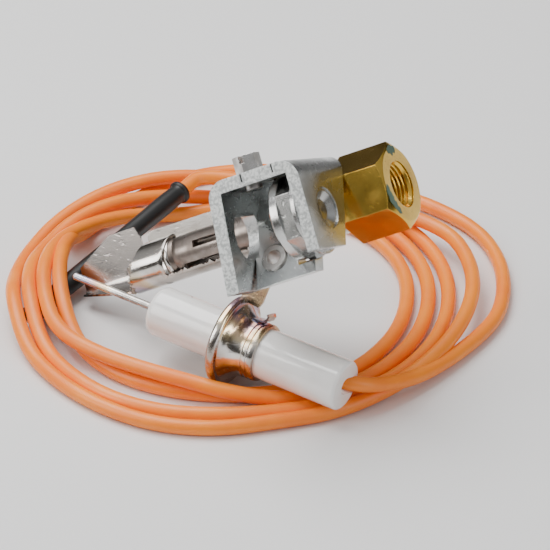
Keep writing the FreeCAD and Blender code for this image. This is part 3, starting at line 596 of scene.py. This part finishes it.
# How the loose turns lie: angle round the coil in degrees, distance from its centre, height.
LAY = [
    (-15, 56.9, 1.9), (0, 58.4, 1.85), (25, 60.0, 1.85), (45, 57.0, 1.85), (65, 54.5, 1.85),
    (85, 55.8, 1.85), (105, 56.6, 1.85), (125, 53.2, 1.85), (145, 52.0, 1.85), (165, 49.6, 1.85),
    (183, 49.0, 1.85), (200, 49.4, 1.85), (216, 49.6, 1.85), (234, 48.2, 1.85), (253, 45.6, 1.85),
    (270, 43.4, 1.85), (287, 42.2, 1.85), (315, 38.0, 1.85), (342, 35.4, 1.85),
    (360, 34.9, 1.85), (405, 36.5, 1.85), (450, 38.2, 1.85), (475, 39.6, 1.85), (488, 42.6, 1.85),
    (502, 46.6, 5.4), (516, 50.2, 5.6), (530, 52.6, 4.0), (543, 52.8, 1.85), (558, 53.4, 2.6),
    (569, 53.4, 5.5), (582, 49.6, 5.6), (600, 46.8, 5.6), (614, 47.2, 5.5), (630, 47.3, 3.2),
    (647, 46.0, 1.85), (675, 43.0, 1.85), (702, 40.6, 1.85),
    (720, 40.1, 1.85), (765, 41.2, 1.85), (810, 42.4, 1.85), (833, 44.6, 3.0), (850, 48.6, 5.5),
    (868, 53.6, 5.5), (886, 56.2, 3.0), (903, 56.4, 1.85), (918, 57.0, 1.85), (932, 57.2, 1.85),
    (948, 57.4, 1.85), (963, 56.2, 1.85), (976, 53.4, 1.85), (990, 51.1, 1.85), (1007, 49.8, 1.85),
    (1035, 47.4, 1.85), (1062, 45.5, 1.85),
    (1080, 45.0, 1.85), (1125, 46.0, 1.85), (1168, 47.2, 2.2), (1188, 50.0, 5.4), (1206, 55.0, 5.6),
    (1224, 58.6, 3.8), (1242, 60.0, 1.9), (1263, 60.2, 1.85), (1276, 61.0, 2.2), (1290, 61.0, 1.85),
    (1306, 61.0, 1.85), (1322, 61.0, 1.85), (1336, 59.4, 1.85), (1350, 54.9, 1.85), (1367, 53.4, 1.85),
    (1392, 51.4, 3.4), (1420, 50.8, 5.4), (1444, 50.8, 5.7), (1464, 50.0, 5.9),
]


def lay_at(angle):
    """Distance and height at an angle, on a smooth curve through the lay's stations."""
    index = 0
    while index < len(LAY) - 2 and LAY[index + 1][0] < angle:
        index += 1
    first, second = LAY[index], LAY[index + 1]
    before = LAY[max(index - 1, 0)]
    after = LAY[min(index + 2, len(LAY) - 1)]
    span = second[0] - first[0]
    share = (angle - first[0]) / span
    found = []
    for part in (1, 2):
        leave = (second[part] - before[part]) / (second[0] - before[0]) * span
        come = (after[part] - first[part]) / (after[0] - first[0]) * span
        found.append((2 * share**3 - 3 * share**2 + 1) * first[part] + (share**3 - 2 * share**2 + share) * leave
                     + (3 * share**2 - 2 * share**3) * second[part] + (share**3 - share**2) * come)
    return found


def over_boot(point):
    """A turn that crosses the boot rides up over it."""
    foot = BOOT.inverted() @ point
    if not CROSSING_FROM < foot.x < CROSSING_TO or point.z > ALREADY_HIGH:
        return point
    top = (BOOT @ Vector((foot.x, 0, 0))).z + CROSSING_RISE
    weight = 1 - eased(abs(foot.y), 0.006, 0.017)
    return Vector((point.x, point.y, point.z + (max(top, point.z) - point.z) * weight))


def coil_points():
    """The loose turns, one point every few degrees."""
    first, last = LAY[0][0], LAY[-1][0]
    count = round((last - first) / 360 * STEPS_A_TURN)
    points = []
    for step in range(count + 1):
        angle = first + (last - first) * step / count
        distance, height = lay_at(angle)
        turn = math.radians(angle)
        east = COIL_CENTRE[0] + distance * math.cos(turn)
        north = COIL_CENTRE[1] + distance * math.sin(turn)
        points.append(over_boot(milli(east, north, height)))
    return points


def make_lead():
    """One smooth silicone lead from the ferrule, round the coil and into the boot."""
    start = [ELECTRODE @ milli(16.0, 0, 0), ELECTRODE @ milli(30.0, 0, 0)]
    route = start + [milli(*point) for point in START_ROUTE] + coil_points()
    route += [milli(*point) for point in END_ROUTE]
    route += [BOOT @ milli(along, 0, 0) for along in (-LEAD_BEFORE_BOOT, 0.0, LEAD_IN_BOOT)]
    curve = bpy.data.curves.new("ignition_lead", "CURVE")
    curve.dimensions = "3D"
    curve.bevel_depth = LEAD_RADIUS * MM
    curve.bevel_resolution = 8
    curve.resolution_u = 6
    curve.use_fill_caps = True
    spline = curve.splines.new("NURBS")
    spline.points.add(len(route) - 1)
    for place, point in zip(spline.points, route):
        place.co = (*point, 1.0)
    spline.order_u = 3
    spline.use_endpoint_u = True
    curve.materials.append(lead_silicone)
    lead = bpy.data.objects.new("ignition_lead", curve)
    bpy.context.scene.collection.objects.link(lead)
    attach(lead, "root")
    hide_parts("lead_start", "lead_coil", "lead_end")
    return lead, route[0]


lead, lead_exit = make_lead()

# ---- the boot and its terminal --------------------------------------------------------------------


def make_boot():
    """Rubber sleeve: a rolled lip, a straight body and a mouth pressed over the terminal."""
    profile = [(1.0, 1.81), (0.3, 1.95), (0.0, 2.25)]
    profile += bend(0.8, 2.2, 0.7, 180, 90, 6)[1:] + bend(1.0, 2.2, 0.7, 90, 20, 5)[1:]
    profile += [(2.0, 2.32), (3.2, 2.38)]
    profile += [(x, 2.44 + 0.06 * math.sin(x * 0.21)) for x in range(5, 56, 3)]
    profile += [(57.5, 2.5), (59.5, 2.5)] + bend(60.6, 2.1, 0.4, 90, 0, 5)
    profile += [(61.0, 1.75), (60.4, 1.6), (43.0, 1.6), (42.5, 1.81)]
    return finish_piece(lathe("boot_sleeve", BOOT, profile, 64, 0.05), "boot_sleeve", boot_rubber,
                        "lead_boot")


def make_terminal():
    """Push-on receptacle: a flat floor with both edges rolled over towards the middle."""
    rows = []
    for step in range(25):
        x = 43.0 + (BOOT_TO_TIP - 43.0) * step / 24
        squeeze = 0.80 + 0.20 * eased(x, 55.0, 59.0)
        section = [(-0.25, 0.28), (-0.9, 0.55)]
        section += [(-1.45 + 0.5 * math.cos(math.radians(a)), 0.08 + 0.5 * math.sin(math.radians(a)))
                    for a in range(90, 271, 30)]
        section += [(-0.9, -0.45), (0.0, -0.45), (0.9, -0.45)]
        section += [(1.45 + 0.5 * math.cos(math.radians(a)), 0.08 + 0.5 * math.sin(math.radians(a)))
                    for a in range(-90, 91, 30)]
        section += [(0.9, 0.55), (0.25, 0.28)]
        rows.append([(x, y * squeeze, z) for y, z in section])
    mesh = sheet_grid("receptacle", BOOT, rows, 0.3)
    return finish_piece(mesh, "receptacle", terminal_tin, "lead_terminal", 50)


boot = make_boot()
terminal = make_terminal()

# ---- the electrode --------------------------------------------------------------------------------


def make_ceramic():
    """Glazed insulator with rounded ends, a bore and the slot that the lead leaves by."""
    profile = [(-21.2, 0.95), (-21.2, 3.9)] + bend(-19.1, 3.9, 2.1, 180, 90, 10)[1:]
    profile += [(x, 6.0) for x in (-10, 0, 10, 20)]
    profile += bend(29.6, 5.2, 0.8, 90, 0, 6) + [(30.4, 3.0), (30.4, 1.95), (8.0, 1.95), (8.0, 0.95)]
    body = lathe("ceramic", ELECTRODE, profile, 96, 0.03)
    slot = block_mesh("lead_slot", ELECTRODE, (23.4, 0, -2.0), (31.5, 7, 2.0))
    finish_piece(cut_from(body, [slot]), "ceramic", ceramic_glaze, "ceramic_insulator", 30)


def make_flange():
    """Pressed ring: rolled rim, a step, a flared collar and a sleeve crimped with grooves."""
    profile = [(-1.3, 6.05), (-1.3, 8.6), (-1.05, 9.2), (-1.2, 9.8)]
    profile += bend(-0.2, 9.95, 1.0, 165, 90, 6) + bend(0.2, 9.95, 1.0, 90, 10, 6)
    profile += [(1.15, 9.5), (1.3, 9.2), (2.0, 8.7), (2.5, 8.1), (3.1, 7.6), (3.9, 7.2), (4.8, 6.95), (5.4, 6.9)]
    for groove in (6.3, 7.5):
        profile += [(groove - 0.35, 6.9), (groove - 0.15, 6.62), (groove + 0.15, 6.62), (groove + 0.35, 6.9)]
    profile += [(8.6, 6.9), (8.95, 6.75), (9.0, 6.5), (9.0, 6.05)]
    finish_piece(lathe("flange_ring", ELECTRODE, profile, 120, 0.06), "flange_ring", flange_steel,
                 "electrode_flange", 40)


def make_lug():
    """Folded lug on top of the crimped sleeve."""
    rows = []
    for step in range(9):
        side = -1.8 + 3.6 * step / 8
        drop = 0.04 * side * side
        rows.append([(4.2, side, 7.0 - drop), (5.4, side, 7.15 - drop), (6.8, side, 7.3 - drop),
                     (7.6, side, 7.9 - drop), (7.9, side, 8.7 - drop), (7.5, side, 9.3 - drop)])
    finish_piece(sheet_grid("sleeve_lug", ELECTRODE, rows, 0.5), "sleeve_lug", flange_steel)


make_ceramic()
make_flange()
make_lug()

# ---- hood, wing and weld --------------------------------------------------------------------------

SHEET_MIDDLE = 5.25
SHEET_THICK = 0.5
FLANGE_LEFT = -60.6
FLANGE_HIGH = 8.35
HOOD_RIGHT = -30.0


def end_of_hood(turn):
    """Where the hood's left edge lies at an angle round it: slanted, furthest left at the bottom."""
    if turn < 90:
        return -59.4 + 1.5 * eased(turn, 30, 90)
    return -57.9 - 5.9 * eased(turn, 75, 250)


def rounded_wall(x, left, top):
    """Height of the standing flange near its rounded left corner."""
    inset = max(0.0, left + 1.8 - x) / 1.8
    return top - 1.8 * (1 - math.sqrt(max(0.0, 1 - min(inset, 1.0) ** 2)))


def make_hood():
    """Round hood, closed near its left end and cut open in front, with a standing flange."""
    rows = []
    count, columns = 110, 64
    for step in range(count + 1):
        share = step / count
        level = -61.0 + 31.0 * share
        opened = eased(level, -53.6, -51.8)
        ragged = noise.noise(Vector((level * 1.1, 4.0, 0))) + 0.5 * noise.noise(Vector((level * 3.1, 7.0, 0)))
        start = 62 + 160 * opened + ragged * (2 + 9 * opened)
        row = []
        for column in range(columns + 1):
            turn = start + (360 - start) * column / columns
            left = end_of_hood(turn)
            x = left + (HOOD_RIGHT - left) * share
            angle = math.radians(turn)
            row.append((x, SHEET_MIDDLE * math.cos(angle), SHEET_MIDDLE * math.sin(angle)))
        for rise in range(1, 11):
            x = FLANGE_LEFT + (HOOD_RIGHT - FLANGE_LEFT) * share
            row.append((x, SHEET_MIDDLE, rounded_wall(x, FLANGE_LEFT, FLANGE_HIGH) * rise / 10))
        rows.append(row)
    finish_piece(sheet_grid("hood_sheet", BURNER, rows, SHEET_THICK), "hood_sheet", hood_steel,
                 "hood", 50)


def make_wing():
    """Target wing: a shallow trough that rises at its tip, and a rear wall trimmed on a slant."""
    rows = []
    count, columns = 54, 26
    for step in range(count + 1):
        x = -80.6 + 18.2 * step / count
        rise = max(0.0, (-62.2 - x) / 18.4)
        scale = 1 - 0.68 * rise**1.25
        top = 10.5 if x > -70.8 else 10.5 - 5.4 * (-70.8 - x) / 9.8
        top -= 2.6 * eased(x, -63.6, -62.4)
        start = 262 - 10 * rise - 52 * eased(x, -65.0, -62.4) + 2 * noise.noise(Vector((x * 0.8, 9.0, 0)))
        row = []
        for column in range(columns + 1):
            angle = math.radians(start + (360 - start) * column / columns)
            row.append((x, SHEET_MIDDLE * (1 - scale + scale * math.cos(angle)),
                        SHEET_MIDDLE * scale * math.sin(angle)))
        row += [(x, SHEET_MIDDLE, top * part / 10) for part in range(1, 11)]
        rows.append(row)
    finish_piece(sheet_grid("wing_sheet", BURNER, rows, SHEET_THICK), "wing_sheet", wing_steel,
                 "target_wing", 50)


def make_weld():
    """Ragged row of tack welds where wing and hood meet."""
    chance = random.Random(7)
    points, faces = [], []
    for lump in range(11):
        turn = 168 + lump * 8
        angle = math.radians(turn)
        size = 0.32 + 0.26 * chance.random()
        x = end_of_hood(turn) + 0.7 * (chance.random() - 0.5)
        centre = Vector((x, (SHEET_MIDDLE + 0.05) * math.cos(angle), (SHEET_MIDDLE + 0.05) * math.sin(angle)))
        ball = bmesh.new()
        bmesh.ops.create_icosphere(ball, subdivisions=3, radius=size)
        offset = len(points)
        for corner in ball.verts:
            swell = 1 + 0.6 * noise.noise(corner.co * 3.2 + centre)
            points.append(BURNER @ ((centre + corner.co * swell) * MM))
        faces += [[offset + corner.index for corner in face.verts] for face in ball.faces]
        ball.free()
    finish_piece(mesh_of("tack_weld", points, faces), "tack_weld", weld_steel, sharp=180)


def make_bead():
    """Rolled bead at the inner tube's end."""
    ring = [(-52.0 + 0.62 * math.cos(math.radians(a)), 4.66 + 0.3 * math.sin(math.radians(a)))
            for a in range(0, 360, 30)]
    finish_piece(lathe("tube_bead", BURNER, ring, 72), "tube_bead", hood_steel, "tube_collar")


def make_tube():
    """Slotted inner tube with a necked shoulder behind its bead."""
    profile = [(-53.0, 3.6), (-53.0, 4.55), (-50.9, 4.6), (-50.4, 4.35), (-49.9, 4.6), (-49.0, 4.7)]
    profile += [(x, 4.7) for x in (-45, -40, -35, -30)] + [(-26.0, 4.7), (-26.0, 4.1), (-49.0, 4.1), (-50.4, 3.85)]
    tube = lathe("burner_tube_slotted", BURNER, profile, 96)
    cutters = []
    for turn, left in ((162, -44.4), (222, -48.2), (102, -47.0), (42, -47.0), (342, -47.0), (282, -47.0)):
        place = BURNER @ Matrix.Rotation(math.radians(turn), 4, "X")
        cutters.append(block_mesh("slot_%d" % turn, place, (left, 3.0, -0.85), (left + 10.0, 6.0, 0.85)))
    finish_piece(cut_from(tube, cutters), "slotted_tube", tube_steel, "burner_tube", 30)


make_tube()
make_hood()
make_wing()
make_weld()
make_bead()

# ---- brass thread and paint dabs ------------------------------------------------------------------


def make_thread():
    """Ridges of the female thread inside the hexagon."""
    pitch = 1.0
    profile = []
    for ridge in range(8):
        x = 0.7 + ridge * pitch
        profile += [(x, 5.53), (x + 0.42, 5.02), (x + 0.58, 5.02)]
    profile += [(9.0, 5.54), (9.0, 5.6), (0.7, 5.6)]
    finish_piece(lathe("thread_ridges", BURNER, profile, 96), "thread_ridges", inlet_brass,
                 sharp=20)


def make_paint():
    """Smears of green inspection paint on the hexagon's end face."""
    for name, turn, wide, out in (("paint_top", 96, 15, 8.2), ("paint_low", 208, 30, 7.9)):
        rows = []
        for step in range(7):
            row = []
            for part in range(17):
                angle = turn + wide * (part / 8 - 1)
                edge = 1.1 * math.sqrt(max(0.02, 1 - (part / 8 - 1) ** 2))
                edge *= 1 + 0.7 * noise.noise(Vector((angle * 0.15, step * 0.3, out)))
                reach = out + edge * (step / 3 - 1)
                row.append((9.42, reach * math.cos(math.radians(angle)), reach * math.sin(math.radians(angle))))
            rows.append(row)
        finish_piece(sheet_grid(name, BURNER, rows, 0.05), name, paint_green, sharp=60)


make_thread()
make_paint()

# ---- CAD parts that keep their shape --------------------------------------------------------------

KEPT = {
    "bracket": bracket_zinc, "clamp_screw": screw_steel, "port_plug": plug_zinc, "port_washer": washer_steel,
    "port_locknut": plug_zinc, "wall_eyelet": screw_steel, "inlet_fitting": inlet_brass, "orifice": inlet_brass,
    "mixer_body": body_steel, "body_saddle": strap_steel, "electrode_strap": strap_steel,
    "spark_rod": rod_steel, "lead_ferrule": terminal_tin,
}
for node_name, node_finish in KEPT.items():
    for place in bpy.data.objects[node_name].material_slots:
        place.material = node_finish
